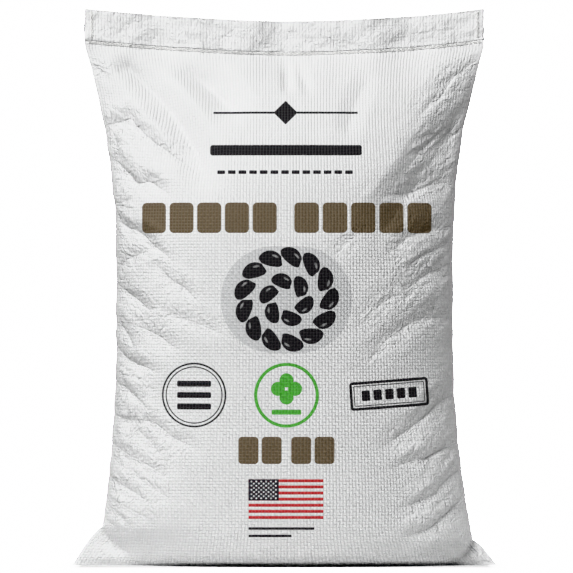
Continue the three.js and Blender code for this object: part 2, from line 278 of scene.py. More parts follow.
def fold_field(x, z):
    """How far the cloth is drawn in, how far it hangs down over a crease, how crumpled it is, and how
    far above the nearest crease it lies, with how sharp that crease is."""
    drawn, hung, crumpled = np.zeros(x.shape), np.zeros(x.shape), np.zeros(x.shape)
    nearest_gap, sharpness = np.full(x.shape, 4.0), np.zeros(x.shape)
    for depth, upper, lower, points in creases:
        path = smooth_path(points, steps_per_point)
        low, high = path.min(axis=0) - crease_reach, path.max(axis=0) + crease_reach
        near = (x > low[0]) & (x < high[0]) & (z > low[1]) & (z < high[1])
        gap, along = place_on_path(x[near], z[near], path)
        fade = mix(0.7, 1, smooth(0, 0.25, along)) * (1 - smooth(0.55, 1, along))
        flank = np.where(gap > 0, upper, lower)
        valley = np.exp(-np.abs(gap / flank) ** 1.05)
        pouch = 0.3 * np.exp(-((gap - 2.1 * upper) / (1.3 * upper)) ** 2)
        pouch += 0.22 * np.exp(-((gap + 1.7 * lower) / (1.0 * lower)) ** 2)
        drawn[near] += depth * fade * (valley - pouch)
        overhang = np.where(gap > 0, np.exp(-gap / (1.2 * upper)), np.exp(gap / 2.5))
        hung[near] += 0.5 * depth * fade * overhang
        crumpled[near] += fade * np.exp(-((gap - 2) / 13) ** 2)
        nearer = np.abs(gap) < np.abs(nearest_gap[near])
        nearest_gap[near] = np.where(nearer, gap, nearest_gap[near])
        sharp_here = depth / 4 * fade * (1 - smooth(2.2, 3.6, np.abs(gap)))
        sharpness[near] = np.where(nearer, sharp_here, sharpness[near])
    for depth, upper, lower, points in draws:
        gap, along = place_on_path(x, z, smooth_path(points, steps_per_point))
        fade = mix(0.7, 1, smooth(0, 0.2, along)) * (1 - smooth(0.6, 1, along))
        flank = np.where(gap > 0, upper, lower)
        drawn += depth * fade * np.clip(1 - np.abs(gap / flank), 0, 1) ** 1.2
    return drawn, hung, np.clip(crumpled, 0, 1), nearest_gap, sharpness


def grid_normals(points):
    """Outward directions on a grid whose columns go once round."""
    around = np.roll(points, -1, axis=1) - np.roll(points, 1, axis=1)
    up = np.gradient(points, axis=0)
    normal = np.cross(around, up)
    return normal / np.maximum(np.linalg.norm(normal, axis=-1, keepdims=True), 1e-9)


def noise_field(a, b, c):
    """Smooth noise on three arrays of coordinates."""
    values = [noise.noise(Vector(p)) for p in zip(a.ravel(), b.ravel(), c.ravel())]
    return np.array(values).reshape(a.shape)


# The thread's rows: pitch of the stitches, and how far in from the hem's ends the upright rows stand.
stitch_pitch = 4
end_margin = 6

back_columns = 120
columns = 3 * back_columns
foot_rows = [0, 0.5, 1.4, 2.8, 4.6, 6.6, 8.8, 11, 13.2, 15.4]
body_rows = 232
hem_rows = [0, 0.25, 0.8, 2.2, 4.4, 6.6, 8.8, 11, 13.2, 15.4, 17.6, 19.8, 22, 24.2, 26, 27.2, 27.7]

rows = list(foot_rows)
rows += list(np.linspace(foot_rows[-1], mouth_height, body_rows)[1:])
rows += [mouth_height + 0.6, mouth_height + 1.1, stitch_height]
rows += [hem_foot - 1.4, hem_foot - 0.9, hem_foot - 0.1]
rows += [hem_foot + step for step in hem_rows]
row_heights = np.array(rows)[:, None] * np.ones((1, columns))
stitch_row = rows.index(stitch_height)

# The front, where the angle is above pi, has twice as many columns as the back.
angles = np.concatenate([np.arange(back_columns) / back_columns,
                         1 + np.arange(2 * back_columns) / (2 * back_columns)]) * np.pi
row_angles = np.ones((len(rows), 1)) * angles[None, :]

skin, widths, depths = plain_skin(row_heights, row_angles)
outward = grid_normals(skin)
inward = widths - np.abs(skin[..., 0])
front_share = smooth(-0.06, 0.06, -np.sin(row_angles))

# The back has the same creases at its edges, but there they run in less far and drop more. The cloth is
# never drawn in by more than the room that the fill leaves, and lies calm at the seam and on the floor.
sideway = np.sign(skin[..., 0])
front_field = fold_field(skin[..., 0], skin[..., 2])
back_field = fold_field(sideway * (widths - inward / 0.82), skin[..., 2] + 0.15 * inward)
drawn_in, hung, crumple = [mix(b, f, front_share) for b, f in zip(back_field[:3], front_field[:3])]
on_front = front_share > 0.5
crease_gap, crease_sharpness = [np.where(on_front, f, b) for b, f in zip(back_field[3:], front_field[3:])]
room = 0.8 * np.maximum(depths, 6 * np.exp(-inward / 6))
stitched = smooth(mouth_height - 22, mouth_height, row_heights)
free = smooth(0, mix(5, 14, smooth(16, 40, inward)), row_heights) * (1 - stitched)
calm_edge = mix(0.3, 1, smooth(1, 12, inward))
folded = skin - outward * np.clip(free * calm_edge * drawn_in, -6, room)[..., None]
folded[..., 2] -= hung * free * calm_edge * smooth(0, 30, row_heights)

# Cloth coordinates: along the girth from the front's middle, and along the height.
steps = np.linalg.norm(np.roll(skin, -1, axis=1) - skin, axis=-1)
front_middle = 2 * back_columns
around_length = np.cumsum(np.roll(steps, -front_middle, axis=1), axis=1)
around_length = np.concatenate([np.zeros((len(rows), 1)), around_length[:, :-1]], axis=1)
girth = steps.sum(axis=1, keepdims=True)
cloth_u = np.roll(around_length / girth * 4 * mouth_half, front_middle, axis=1)
rise_steps = np.linalg.norm(np.diff(skin[:, front_middle], axis=0), axis=-1)
cloth_v = np.concatenate([[0], np.cumsum(rise_steps)])[:, None] * np.ones((1, columns))

# Sharp crinkles run along the folds where the cloth is gathered. The hem is puckered by its stitches,
# which lie in a shallow groove, and the whole cloth is slightly uneven. Each side of the front and of the
# back has crinkles of its own. Heights are in millimetres.
crinkle_height = 2.2
fine_crinkle_height = 1.1
uneven_height = 0.8
pucker_height = 1.6
broad_pucker_height = 1.9
groove_depth = 0.15
groove_half = 0.9
along_fold = inward * 0.84 - row_heights * 0.54
across_fold = inward * 0.54 + row_heights * 0.84
own_noise = np.sign(np.cos(row_angles)) * 40 + np.where(np.sin(row_angles) < 0, 0, 90)
on_right = smooth(-1, 1, np.cos(row_angles) * 20)
edge_share = mix(0.3 * np.exp(-inward / 26), 0.6 * np.exp(-inward / 45), on_right)
gathered = np.clip(crumple * 0.8 + edge_share, 0, 1) * free * smooth(0, 5, inward)
crinkle = np.abs(noise_field(along_fold / 25, across_fold / 7.5, own_noise)) - 0.3
fine_crinkle = 0.25 - np.abs(noise_field(along_fold / 9, across_fold / 5, own_noise + 7))
uneven = noise_field(skin[..., 0] / 55, skin[..., 1] / 55, skin[..., 2] / 40)
in_hem = smooth(stitch_height - 6, stitch_height, row_heights)
pucker = np.abs(noise_field(skin[..., 0] / 9, front_share * 9, row_heights / 7)) - 0.25
broad_pucker = noise_field(skin[..., 0] / 19, front_share * 9 + 4, row_heights / 13)
relief = gathered * (crinkle_height * crinkle + fine_crinkle_height * fine_crinkle)
relief += uneven_height * uneven * free
relief = np.where(depths > 8, relief, relief * depths / 8)
hem_puckers = pucker_height * pucker + broad_pucker_height * broad_pucker
relief += np.where(np.sin(row_angles) < 0, 1, -1) * in_hem * hem_puckers
relief -= groove_depth * np.exp(-((row_heights - stitch_height) / groove_half) ** 2)
folded = folded + grid_normals(folded) * relief[..., None]

# The cloth turns under before it meets the floor, most of all at mid width.
turn_height = 4.2
turn_depth = 15
under = np.exp(-(row_heights / turn_height) ** 2)
under *= mix(1, 0.25, smooth(60, 165, np.abs(skin[..., 0] - 15)))
turned_in = np.minimum(turn_depth * under, 0.8 * np.abs(folded[..., 1]))
folded[..., 1] -= np.sign(folded[..., 1]) * turned_in
folded[0, :, 2] = 0
folded[..., 2] = np.maximum(folded[..., 2], 0)


def sack_mesh(points):
    mesh = bpy.data.meshes.new("sack_cloth")
    count = len(rows)
    index = np.arange(count * columns).reshape(count, columns)
    beside = np.roll(index, -1, axis=1)
    walls = np.stack([index[:-1], beside[:-1], beside[1:], index[1:]], axis=-1).reshape(-1, 4)
    faces = walls.tolist()
    for row, upward in ((0, False), (count - 1, True)):
        for j in range(back_columns):
            front = [index[row, -2 * j - step] if 2 * j + step else index[row, 0] for step in (0, 1, 2)]
            ring = [int(v) for v in front + [index[row, j + 1], index[row, j]]]
            ring = list(dict.fromkeys(ring))
            faces.append(ring[::-1] if upward else ring)
    mesh.from_pydata((points.reshape(-1, 3) * MM).tolist(), [], faces)
    mesh.update()
    return mesh


cloth_mesh = sack_mesh(folded)

# Two maps lie on the cloth: where a point is on the tube of tape, and where it is on the printed panel.
# The back of the sack lies far above the panel, so it takes no print.
off_panel = 2000
vertex_of_loop = np.zeros(len(cloth_mesh.loops), dtype=np.int32)
cloth_mesh.loops.foreach_get("vertex_index", vertex_of_loop)
face_of_loop = np.repeat(np.arange(len(cloth_mesh.polygons)),
                         [len(p.vertices) for p in cloth_mesh.polygons])
column_of_face = face_of_loop % columns
tape_u, tape_v = cloth_u.ravel()[vertex_of_loop], cloth_v.ravel()[vertex_of_loop]
wraps = (column_of_face == front_middle - 1) & (tape_u < mouth_half)
tape_u = np.where(wraps, tape_u + 4 * mouth_half, tape_u)
tape_map = cloth_mesh.uv_layers.new(name="tape")
tape_map.data.foreach_set("uv", (np.stack([tape_u, tape_v], -1) * MM).astype(np.float32).ravel())
panel = folded.reshape(-1, 3)[vertex_of_loop][:, [0, 2]]
panel[:, 1] += np.where(column_of_face >= back_columns, 0, off_panel)
panel_map = cloth_mesh.uv_layers.new(name="panel")
panel_map.data.foreach_set("uv", (panel * MM).astype(np.float32).ravel())

# Four values lie on its points: how gathered the cloth is, how far it is from the nearest crease in
# millimetres, how sharp that crease is, and how much of the weave shows. The weave is pulled flat where
# the cloth is stretched or crumpled, and shows least at the edges, in the folds and in the hem.
weave_low, weave_high = 0.68, 0.5
edge_calm = mix(4, 18, on_right)
weave_shown = mix(0.25, 1, smooth(0.5, edge_calm, inward)) * (1 - 0.3 * in_hem)
weave_shown = weave_shown * (1 - 0.35 * gathered)
weave_shown = weave_shown * mix(weave_low, weave_high, smooth(200, 400, row_heights))
point_values = {
    "gathered": np.clip(gathered + 0.55 * in_hem, 0, 1),
    "crease gap": crease_gap,
    "crease sharpness": crease_sharpness * free,
    "weave shown": weave_shown,
}
for name, values in point_values.items():
    value_map = cloth_mesh.attributes.new(name, "FLOAT", "POINT")
    value_map.data.foreach_set("value", values.astype(np.float32).ravel())

for face in cloth_mesh.polygons:
    face.use_smooth = len(face.vertices) == 4 and abs(face.normal.z) < 0.9
sack = bpy.data.objects.new("sack_cloth", cloth_mesh)
bpy.context.scene.collection.objects.link(sack)


def add_node(tree, kind, values=None, **settings):
    node = tree.nodes.new(kind)
    for name, value in settings.items():
        setattr(node, name, value)
    for socket, value in (values or {}).items():
        feed(tree, node.inputs[socket], value)
    return node


def feed(tree, socket, value):
    if isinstance(value, bpy.types.NodeSocket):
        tree.links.new(value, socket)
    else:
        socket.default_value = value


def maths(tree, operation, *values):
    node = add_node(tree, "ShaderNodeMath", operation=operation)
    for socket, value in zip(node.inputs, values):
        feed(tree, socket, value)
    return node.outputs[0]


def new_group(name, inputs, outputs):
    group = bpy.data.node_groups.new(name, "ShaderNodeTree")
    for label, kind, default in inputs:
        socket = group.interface.new_socket(label, in_out="INPUT", socket_type=kind)
        if default is not None:
            socket.default_value = default
    for label, kind in outputs:
        group.interface.new_socket(label, in_out="OUTPUT", socket_type=kind)
    return group, add_node(group, "NodeGroupInput"), add_node(group, "NodeGroupOutput")


def place_group(tree, group, values):
    return add_node(tree, "ShaderNodeGroup", values, node_tree=group)


def mix_colour(tree, share, first, second):
    node = add_node(tree, "ShaderNodeMix", data_type="RGBA")
    feed(tree, node.inputs[0], share)
    feed(tree, node.inputs[6], first)
    feed(tree, node.inputs[7], second)
    return node.outputs[2]


def off_middle(group, get):
    """How far a place lies to the right of a print's middle, and above it."""
    offset = add_node(group, "ShaderNodeVectorMath", {0: get["Place"], 1: get["Middle"]},
                      operation="SUBTRACT")
    part = add_node(group, "ShaderNodeSeparateXYZ", {0: offset.outputs[0]})
    return part.outputs[0], part.outputs[1]


def turned(group, x, y, angle):
    """The same place on axes that are turned by an angle."""
    cosine, sine = maths(group, "COSINE", angle), maths(group, "SINE", angle)
    along = maths(group, "ADD", maths(group, "MULTIPLY", x, cosine), maths(group, "MULTIPLY", y, sine))
    up = maths(group, "SUBTRACT", maths(group, "MULTIPLY", y, cosine), maths(group, "MULTIPLY", x, sine))
    return along, up


def distance_of(group, x, y):
    squares = [maths(group, "MULTIPLY", value, value) for value in (x, y)]
    return maths(group, "SQRT", maths(group, "ADD", *squares))


weave_pitch = 0.00275


def woven_tape_group():
    """Flat plastic tapes in a plain weave: each goes over one and under the next."""
    group, given, made = new_group(
        "woven tape",
        [("Place", "NodeSocketVector", None), ("Pitch", "NodeSocketFloat", weave_pitch),
         ("Ribs", "NodeSocketFloat", 0.0)],
        [("Height", "NodeSocketFloat"), ("Gap", "NodeSocketFloat"), ("Shade", "NodeSocketFloat")])
    place = add_node(group, "ShaderNodeSeparateXYZ", {0: given.outputs["Place"]})
    across = maths(group, "DIVIDE", place.outputs[0], given.outputs["Pitch"])
    up = maths(group, "DIVIDE", place.outputs[1], given.outputs["Pitch"])
    column, row = maths(group, "FLOOR", across), maths(group, "FLOOR", up)
    in_column, in_row = maths(group, "FRACT", across), maths(group, "FRACT", up)
    from_column = maths(group, "ABSOLUTE", maths(group, "MULTIPLY_ADD", in_column, 2.0, -1.0))
    from_row = maths(group, "ABSOLUTE", maths(group, "MULTIPLY_ADD", in_row, 2.0, -1.0))
    crown_column = maths(group, "SUBTRACT", 1.0, maths(group, "POWER", from_column, 1.9))
    crown_row = maths(group, "SUBTRACT", 1.0, maths(group, "POWER", from_row, 1.9))
    arch_up = maths(group, "SUBTRACT", 1.0, maths(group, "POWER", from_row, 2.0))
    arch_across = maths(group, "SUBTRACT", 1.0, maths(group, "POWER", from_column, 2.0))
    parity = maths(group, "MODULO", maths(group, "ADD", column, row), 2.0)
    odd = maths(group, "ABSOLUTE", parity)
    upright = maths(group, "MULTIPLY", crown_column, maths(group, "MULTIPLY_ADD", arch_up, 0.35, 0.65))
    level = maths(group, "MULTIPLY", crown_row, maths(group, "MULTIPLY_ADD", arch_across, 0.55, 0.35))
    woven = add_node(group, "ShaderNodeMix", {0: odd, 2: upright, 3: level}, data_type="FLOAT")
    even = add_node(group, "ShaderNodeMix", {0: given.outputs["Ribs"], 2: woven.outputs[0], 3: crown_column},
                    data_type="FLOAT")
    crossing = add_node(group, "ShaderNodeCombineXYZ", {0: column, 1: row})
    chance = add_node(group, "ShaderNodeTexWhiteNoise", {0: crossing.outputs[0]}, noise_dimensions="2D")
    lift = maths(group, "MULTIPLY_ADD", chance.outputs[0], 0.3, 0.85)
    group.links.new(maths(group, "MULTIPLY", even.outputs[0], lift), made.inputs["Height"])
    gap = maths(group, "POWER", maths(group, "SUBTRACT", 1.0, even.outputs[0]), 1.3)
    group.links.new(gap, made.inputs["Gap"])
    tape = add_node(group, "ShaderNodeMix", {0: odd, 2: column, 3: maths(group, "ADD", row, 500.0)},
                    data_type="FLOAT")
    shade = add_node(group, "ShaderNodeTexWhiteNoise", {1: tape.outputs[0]}, noise_dimensions="1D")
    group.links.new(shade.outputs[0], made.inputs["Shade"])
    return group


ink_edge = 0.0003


def printed_grid_group():
    """Ink mask of like rounded blocks in a grid, each filled or as an outline."""
    number = "NodeSocketFloat"
    group, given, made = new_group(
        "printed grid",
        [("Place", "NodeSocketVector", None), ("Middle", "NodeSocketVector", (0, 0, 0)),
         ("Tilt", number, 0.0), ("Across", number, 1.0), ("Up", number, 1.0), ("Pitch across", number, 1.0),
         ("Pitch up", number, 1.0), ("Half length", number, 0.01), ("Half height", number, 0.01),
         ("Corner", number, 0.001), ("Line", number, 1.0)],
        [("Mask", number)])
    get = given.outputs
    along, up = turned(group, *off_middle(group, get), get["Tilt"])

    def beyond(place, count, pitch, half):
        last = maths(group, "SUBTRACT", get[count], 1.0)
        from_first = maths(group, "ADD", maths(group, "DIVIDE", place, get[pitch]),
                           maths(group, "MULTIPLY", last, 0.5))
        block = maths(group, "MINIMUM", maths(group, "MAXIMUM", maths(group, "ROUND", from_first), 0.0), last)
        off = maths(group, "MULTIPLY", maths(group, "SUBTRACT", from_first, block), get[pitch])
        return maths(group, "ADD", maths(group, "SUBTRACT", maths(group, "ABSOLUTE", off), get[half]),
                     get["Corner"])

    over_x = beyond(along, "Across", "Pitch across", "Half length")
    over_y = beyond(up, "Up", "Pitch up", "Half height")
    outside_x, outside_y = maths(group, "MAXIMUM", over_x, 0.0), maths(group, "MAXIMUM", over_y, 0.0)
    outside = distance_of(group, outside_x, outside_y)
    inside = maths(group, "MINIMUM", maths(group, "MAXIMUM", over_x, over_y), 0.0)
    distance = maths(group, "SUBTRACT", maths(group, "ADD", outside, inside), get["Corner"])
    half_line = maths(group, "MULTIPLY", get["Line"], 0.5)
    outlined = maths(group, "SUBTRACT", maths(group, "ABSOLUTE", maths(group, "ADD", distance, half_line)),
                     half_line)
    mask = maths(group, "SUBTRACT", 0.5, maths(group, "DIVIDE", outlined, ink_edge))
    mask.node.use_clamp = True
    group.links.new(mask, made.inputs["Mask"])
    return group


def bean_ring_group():
    """Ink masks of kidney shaped beans in a ring, and of the light on each."""
    number = "NodeSocketFloat"
    group, given, made = new_group(
        "ring of beans",
        [("Place", "NodeSocketVector", None), ("Middle", "NodeSocketVector", (0, 0, 0)),
         ("Radius", number, 0.03), ("Count", number, 12.0), ("Turn", number, 0.0),
         ("Half length", number, 0.008), ("Half width", number, 0.005), ("Bend", number, 0.3),
         ("Lean", number, 0.6)],
        [("Mask", number), ("Light", number)])
    get = given.outputs
    x, y = off_middle(group, get)
    angle = maths(group, "ADD", maths(group, "ARCTAN2", y, x), get["Turn"])
    sector = maths(group, "DIVIDE", 2 * math.pi, get["Count"])
    local = maths(group, "SUBTRACT", angle, maths(group, "MULTIPLY", sector, maths(
        group, "ROUND", maths(group, "DIVIDE", angle, sector))))
    reach = distance_of(group, x, y)
    out = maths(group, "SUBTRACT", maths(group, "MULTIPLY", reach, maths(group, "COSINE", local)),
                get["Radius"])
    round_way = maths(group, "MULTIPLY", reach, maths(group, "SINE", local))
    long, wide = turned(group, round_way, out, get["Lean"])
    long_share = maths(group, "DIVIDE", long, get["Half length"])
    long_square = maths(group, "MULTIPLY", long_share, long_share)
    bent = maths(group, "ADD", maths(group, "DIVIDE", wide, get["Half width"]),
                 maths(group, "MULTIPLY", maths(group, "SUBTRACT", long_square, 0.4), get["Bend"]))
    size = maths(group, "ADD", long_square, maths(group, "MULTIPLY", bent, bent))
    mask = maths(group, "MULTIPLY", maths(group, "SUBTRACT", 1.0, size), 14.0)
    mask.node.use_clamp = True
    group.links.new(mask, made.inputs["Mask"])
    glint_long = maths(group, "MULTIPLY", maths(group, "ADD", long_share, 0.25), 3.2)
    glint_wide = maths(group, "MULTIPLY", maths(group, "SUBTRACT", bent, 0.42), 5.5)
    glint_long = maths(group, "MULTIPLY", glint_long, glint_long)
    glint_wide = maths(group, "MULTIPLY", glint_wide, glint_wide)
    glint = maths(group, "SUBTRACT", 1.0, maths(group, "ADD", glint_long, glint_wide))
    glint.node.use_clamp = True
    group.links.new(glint, made.inputs["Light"])
    return group


def stitch_pucker_group():
    """The small ridges that a row of stitches draws up in the cloth beside it."""
    number = "NodeSocketFloat"
    group, given, made = new_group(
        "stitch puckers",
        [("Along", number, 0.0), ("Off the row", number, 0.0), ("Pitch", number, 0.004),
         ("Reach", number, 0.005)],
        [("Height", number)])
    get = given.outputs
    turn = maths(group, "MULTIPLY", maths(group, "DIVIDE", get["Along"], get["Pitch"]), 2 * math.pi)
    wave = maths(group, "MULTIPLY_ADD", maths(group, "COSINE", turn), 0.5, 0.5)
    share = maths(group, "SUBTRACT", 1.0, maths(group, "DIVIDE", maths(
        group, "ABSOLUTE", get["Off the row"]), get["Reach"]))
    share.node.use_clamp = True
    group.links.new(maths(group, "MULTIPLY", wave, share), made.inputs["Height"])
    return group


black_ink = (0.018, 0.017, 0.019, 1)
navy_ink = (0.030, 0.033, 0.042, 1)
brown_ink = (0.155, 0.118, 0.072, 1)
green_ink = (0.095, 0.420, 0.062, 1)
red_ink = (0.540, 0.055, 0.055, 1)
grey_ink = (0.620, 0.625, 0.630, 1)
white_ink = (0.830, 0.840, 0.840, 1)
tape_white = (0.850, 0.853, 0.853, 1)
# The darker tape colour is painted shade in the weave's hollows and also the random tone of single tapes.
tape_gap_shade_and_tone = (0.690, 0.692, 0.692, 1)
cloudy_white = (0.70, 0.70, 0.695, 1)
# The grey of the painted shade in the bottom of each crease.
crease_shade_grey = (0.30, 0.30, 0.30, 1)

# How high the weave and the wrinkles stand, in metres, and the share of that for the stitches' puckers.
weave_relief = 0.0013
wrinkle_relief = 0.0022
pucker_share = 0.06

# The print, in millimetres on the front panel: ink, middle, half length, half height, corner radius,
# and where it needs them the line width of an outline, the tilt in degrees, how many stand across and
# up, and their pitch.
bean_middle = (1.8, 236.5)
prints = [
    (grey_ink, bean_middle, 58, 47, 47, {}),
    (black_ink, (1, 402), 7.5, 7.5, 0.5, {"tilt": 45}),
    (black_ink, (1, 402), 27, 0.9, 0.4, {"across": 2, "pitch": 74}),
    (black_ink, (1.3, 368.5), 67, 4.6, 2.2, {}),
    (black_ink, (0.5, 349), 3.4, 1.6, 0.8, {"across": 13, "pitch": 9.4}),
    (brown_ink, (-66.4, 308.7), 10.6, 13.4, 4, {"across": 5, "pitch": 24.5}),
    (brown_ink, (69.5, 308.7), 10.8, 13.4, 4, {"across": 5, "pitch": 25}),
    (black_ink, (-79.7, 152.4), 28.5, 28.5, 28.5, {"line": 1.5}),
    (black_ink, (-79.7, 152.4), 25.2, 25.2, 25.2, {"line": 1.0}),
    (black_ink, (-79.7, 152.4), 15, 2.6, 1.2, {"up": 3, "pitch up": 10}),
    (green_ink, (1.8, 152.4), 28.5, 28.5, 28.5, {"line": 2.8}),
    (green_ink, (1.8, 158), 6.2, 6.2, 6.2, {"across": 2, "pitch": 15}),
    (green_ink, (1.8, 158), 6.2, 6.2, 6.2, {"up": 2, "pitch up": 15}),
    (green_ink, (1.8, 137.5), 13, 2.2, 1, {}),
    (black_ink, (92.5, 153.3), 35, 12.6, 3, {"line": 2.4, "tilt": 4}),
    (black_ink, (92.5, 153.3), 31.4, 9.1, 1.4, {"line": 0.8, "tilt": 4}),
    (black_ink, (92.5, 153.3), 3.6, 4.6, 1, {"tilt": 4, "across": 5, "pitch": 10.4}),
    (brown_ink, (-21.5, 103.8), 8.8, 12, 3.4, {"across": 2, "pitch": 20.5}),
    (brown_ink, (25, 103.8), 8.8, 12, 3.4, {"across": 2, "pitch": 20.5}),
    (red_ink, (1.3, 60.8), 33, 1.35, 0.1, {"up": 7, "pitch up": 5.4}),
    (navy_ink, (-18.3, 69), 13.4, 9.4, 0.2, {}),
    (white_ink, (-18.3, 69), 0.75, 0.75, 0.75, {"across": 6, "pitch": 4.3, "up": 5, "pitch up": 3.7}),
    (white_ink, (-18.3, 69), 0.75, 0.75, 0.75, {"across": 5, "pitch": 4.3, "up": 4, "pitch up": 3.7}),
    (black_ink, (-2.7, 34.8), 29, 1.1, 0.5, {}),
    (black_ink, (-12.7, 28.2), 19, 1.1, 0.5, {}),
]
# The beans of the printed ring: radius, count, turn, half length and half width of a bean.
bean_rings = [(38, 13, 0.0, 11.2, 7.0), (16.5, 6, 0.3, 10.0, 6.4)]


def cloth_material():
    made = bpy.data.materials.new("woven_polypropylene")
    made.use_nodes = True
    tree = made.node_tree
    tree.nodes.clear()
    tape_place = add_node(tree, "ShaderNodeUVMap", uv_map="tape").outputs[0]
    panel_place = add_node(tree, "ShaderNodeUVMap", uv_map="panel").outputs[0]
    up_cloth = add_node(tree, "ShaderNodeSeparateXYZ", {0: panel_place}).outputs[1]
    ribs = add_node(tree, "ShaderNodeMapRange", {0: up_cloth, 1: 0.25, 2: 0.43, 4: 0.5})
    weave = place_group(tree, woven_tape_group(), {
        "Place": tape_place, "Pitch": weave_pitch, "Ribs": ribs.outputs[0]})
    clouds = add_node(tree, "ShaderNodeTexNoise", {"Scale": 9.0, "Detail": 3.0}).outputs[0]
    # Painted shade: the colour darkens in the hollows between the tapes, and each tape also differs a little
    # in tone at random.
    shade = maths(tree, "ADD", maths(tree, "MULTIPLY", weave.outputs["Gap"], 0.7),
                  maths(tree, "MULTIPLY", weave.outputs["Shade"], 0.14))
    colour = mix_colour(tree, shade, tape_white, tape_gap_shade_and_tone)
    colour = mix_colour(tree, maths(tree, "MULTIPLY", clouds, 0.10), colour, cloudy_white)
    # Painted shade: the colour darkens in a thin line along the bottom of each crease, where little light
    # gets in.
    crease_gap_here = add_node(tree, "ShaderNodeAttribute", attribute_name="crease gap").outputs["Fac"]
    sharpness_here = add_node(tree, "ShaderNodeAttribute", attribute_name="crease sharpness").outputs["Fac"]
    off_crease = maths(tree, "DIVIDE", maths(tree, "ABSOLUTE", crease_gap_here), -0.6)
    crease_line = maths(tree, "MULTIPLY", sharpness_here, maths(tree, "EXPONENT", off_crease))
    colour = mix_colour(tree, maths(tree, "MULTIPLY", crease_line, 0.35), colour, crease_shade_grey)
    grid_group, beans_group = printed_grid_group(), bean_ring_group()
    wear = maths(tree, "SUBTRACT", 1.0, maths(tree, "MULTIPLY", weave.outputs["Gap"], 0.08))
    for ink_colour, (x, z), half_length, half_height, corner, more in prints:
        block = place_group(tree, grid_group, {
            "Place": panel_place,
            "Middle": (x * MM, z * MM, 0),
            "Tilt": math.radians(more.get("tilt", 0)),
            "Across": float(more.get("across", 1)),
            "Up": float(more.get("up", 1)),
            "Pitch across": more.get("pitch", 1000) * MM,
            "Pitch up": more.get("pitch up", 1000) * MM,
            "Half length": half_length * MM,
            "Half height": half_height * MM,
            "Corner": corner * MM,
            "Line": more.get("line", 1000) * MM})
        colour = mix_colour(tree, maths(tree, "MULTIPLY", block.outputs[0], wear), colour, ink_colour)
    ring_middle = (bean_middle[0] * MM, bean_middle[1] * MM, 0)
    for radius, count, turn, half_length, half_width in bean_rings:
        ring = place_group(tree, beans_group, {
            "Place": panel_place, "Middle": ring_middle, "Radius": radius * MM,
            "Count": float(count), "Turn": turn, "Half length": half_length * MM,
            "Half width": half_width * MM})
        colour = mix_colour(tree, maths(tree, "MULTIPLY", ring.outputs["Mask"], wear), colour, black_ink)
        colour = mix_colour(tree, maths(tree, "MULTIPLY", ring.outputs["Light"], 0.5), colour, grey_ink)
    fibres = add_node(tree, "ShaderNodeTexNoise", {"Vector": tape_place, "Scale": 2500.0, "Detail": 2.0})
    height = maths(tree, "ADD", weave.outputs["Height"], maths(tree, "MULTIPLY", fibres.outputs[0], 0.12))
    shown = add_node(tree, "ShaderNodeAttribute", attribute_name="weave shown").outputs["Fac"]
    weave_bump = add_node(tree, "ShaderNodeBump", {"Strength": shown, "Distance": weave_relief,
                                                   "Height": height})
    gathered_share = add_node(tree, "ShaderNodeAttribute", attribute_name="gathered").outputs["Fac"]
    crumples = 0.0
    for scale, share in ((110.0, 2.0), (250.0, 0.8)):
        wrinkles = add_node(tree, "ShaderNodeTexNoise", {"Vector": tape_place, "Scale": scale, "Detail": 1.5,
                                                         "Distortion": 0.7})
        ridge = maths(tree, "ABSOLUTE", maths(tree, "SUBTRACT", wrinkles.outputs[0], 0.5))
        crumples = maths(tree, "MULTIPLY_ADD", ridge, share, crumples)
    wrinkled = maths(tree, "MULTIPLY", gathered_share, crumples)
    wrinkled = maths(tree, "SUBTRACT", wrinkled, maths(tree, "MULTIPLY", crease_line, 0.22))
    on_tape = add_node(tree, "ShaderNodeSeparateXYZ", {0: tape_place})
    pucker_group = stitch_pucker_group()
    row_up = float(cloth_v[stitch_row, 0]) * MM
    rows_of_stitches = [(0, 1, row_up, 0.006), (1, 0, (mouth_half - end_margin) * MM, 0.004),
                        (1, 0, -(mouth_half - end_margin) * MM, 0.004)]
    puckered = 0.0
    for way, across_way, place, reach in rows_of_stitches:
        puckers = place_group(tree, pucker_group, {
            "Along": on_tape.outputs[way], "Pitch": stitch_pitch * MM, "Reach": reach,
            "Off the row": maths(tree, "SUBTRACT", on_tape.outputs[across_way], place)})
        height_here = puckers.outputs[0]
        if way == 1:
            above_hem_foot = maths(tree, "GREATER_THAN", on_tape.outputs[1], row_up)
            height_here = maths(tree, "MULTIPLY", height_here, above_hem_foot)
        puckered = maths(tree, "ADD", puckered, height_here)
    wrinkled = maths(tree, "ADD", wrinkled, maths(tree, "MULTIPLY", puckered, pucker_share))
    bump = add_node(tree, "ShaderNodeBump", {"Strength": 1.0, "Distance": wrinkle_relief,
                                             "Height": wrinkled, "Normal": weave_bump.outputs[0]})
    roughness = maths(tree, "ADD", 0.52, maths(tree, "MULTIPLY", weave.outputs["Gap"], 0.25))
    surface = add_node(tree, "ShaderNodeBsdfPrincipled", {
        "Base Color": colour, "Roughness": roughness, "Normal": bump.outputs[0],
        "Specular IOR Level": 0.22})
    output = add_node(tree, "ShaderNodeOutputMaterial")
    tree.links.new(surface.outputs[0], output.inputs[0])
    return made


cloth_mesh.materials.append(cloth_material())
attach(sack, "root")
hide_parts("sack")

# The stitches
# White spun polyester thread, sewn as a chain through both cloths: one long row closes the mouth just
# under the hem, and a short upright row holds each end of the hem. Each row shows on both faces.
thread_radius = 0.55
loop_half = 0.75
steps_per_stitch = 10
thread_sides = 6
ply_relief = 0.00006
row_margin = 2.5
upright_margin = 2.2
# How far the middle of the thread stands off the cloth, and how much further halfway along a loop.
thread_lift = 0.3
thread_arch = 0.15
thread_white = (0.86, 0.86, 0.85, 1)
# The grey of the painted shade between the thread's plies.
thread_ply_shade = (0.5, 0.5, 0.48, 1)

cloth_out = grid_normals(folded)


